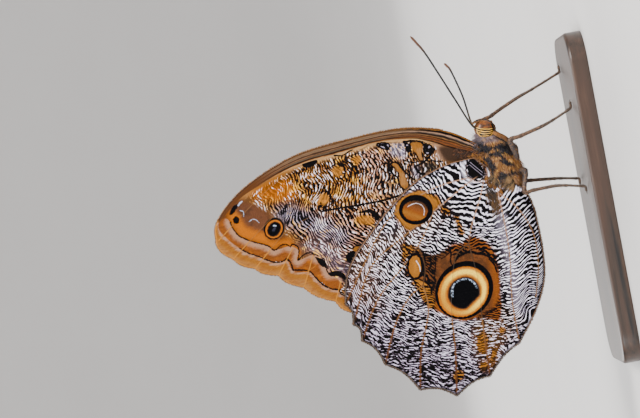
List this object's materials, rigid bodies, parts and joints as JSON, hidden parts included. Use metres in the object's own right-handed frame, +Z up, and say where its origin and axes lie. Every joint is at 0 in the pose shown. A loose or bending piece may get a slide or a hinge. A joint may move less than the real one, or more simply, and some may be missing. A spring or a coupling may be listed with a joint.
{
  "type": "owl butterfly",
  "caption": "Life-size owl butterfly at rest with closed wings showing their eyespots, on thin legs, set on a plain flat base.",
  "frame": {"origin": "middle of the underside of the flat base", "axes": "+X forward, towards the head; +Z up, along the closed wings; the right side of the insect faces -Y"},
  "size_m": [0.1004, 0.0465, 0.109],
  "materials": {
    "forewing_scales": "matte scales, ochre and grey ripples",
    "hindwing_scales": "matte scales, dark and white ripples with eyespots",
    "body_coat": "hairy, mottled brown, ochre and blue-black",
    "legs": "scaly grey-brown",
    "antennae": "dark brown, finely ringed",
    "eyes": "glossy amber brown with dark bands",
    "palps": "hairy tan with a dark line",
    "stand": "satin dark walnut"
  },
  "bodies": {
    "root": {"head": "body_coat", "thorax": "body_coat", "abdomen": "body_coat", "eye_right": "eyes", "eye_left": "eyes", "palp_right": "palps", "palp_left": "palps", "proboscis": "antennae", "antenna_right": "antennae", "antenna_left": "antennae", "forewing_right": "forewing_scales", "forewing_left": "forewing_scales", "hindwing_right": "hindwing_scales", "hindwing_left": "hindwing_scales", "foreleg_right": "legs", "foreleg_left": "legs", "midleg_right": "legs", "midleg_left": "legs", "hindleg_right": "legs", "hindleg_left": "legs", "stand_base": "stand"}
  },
  "joints": []
}
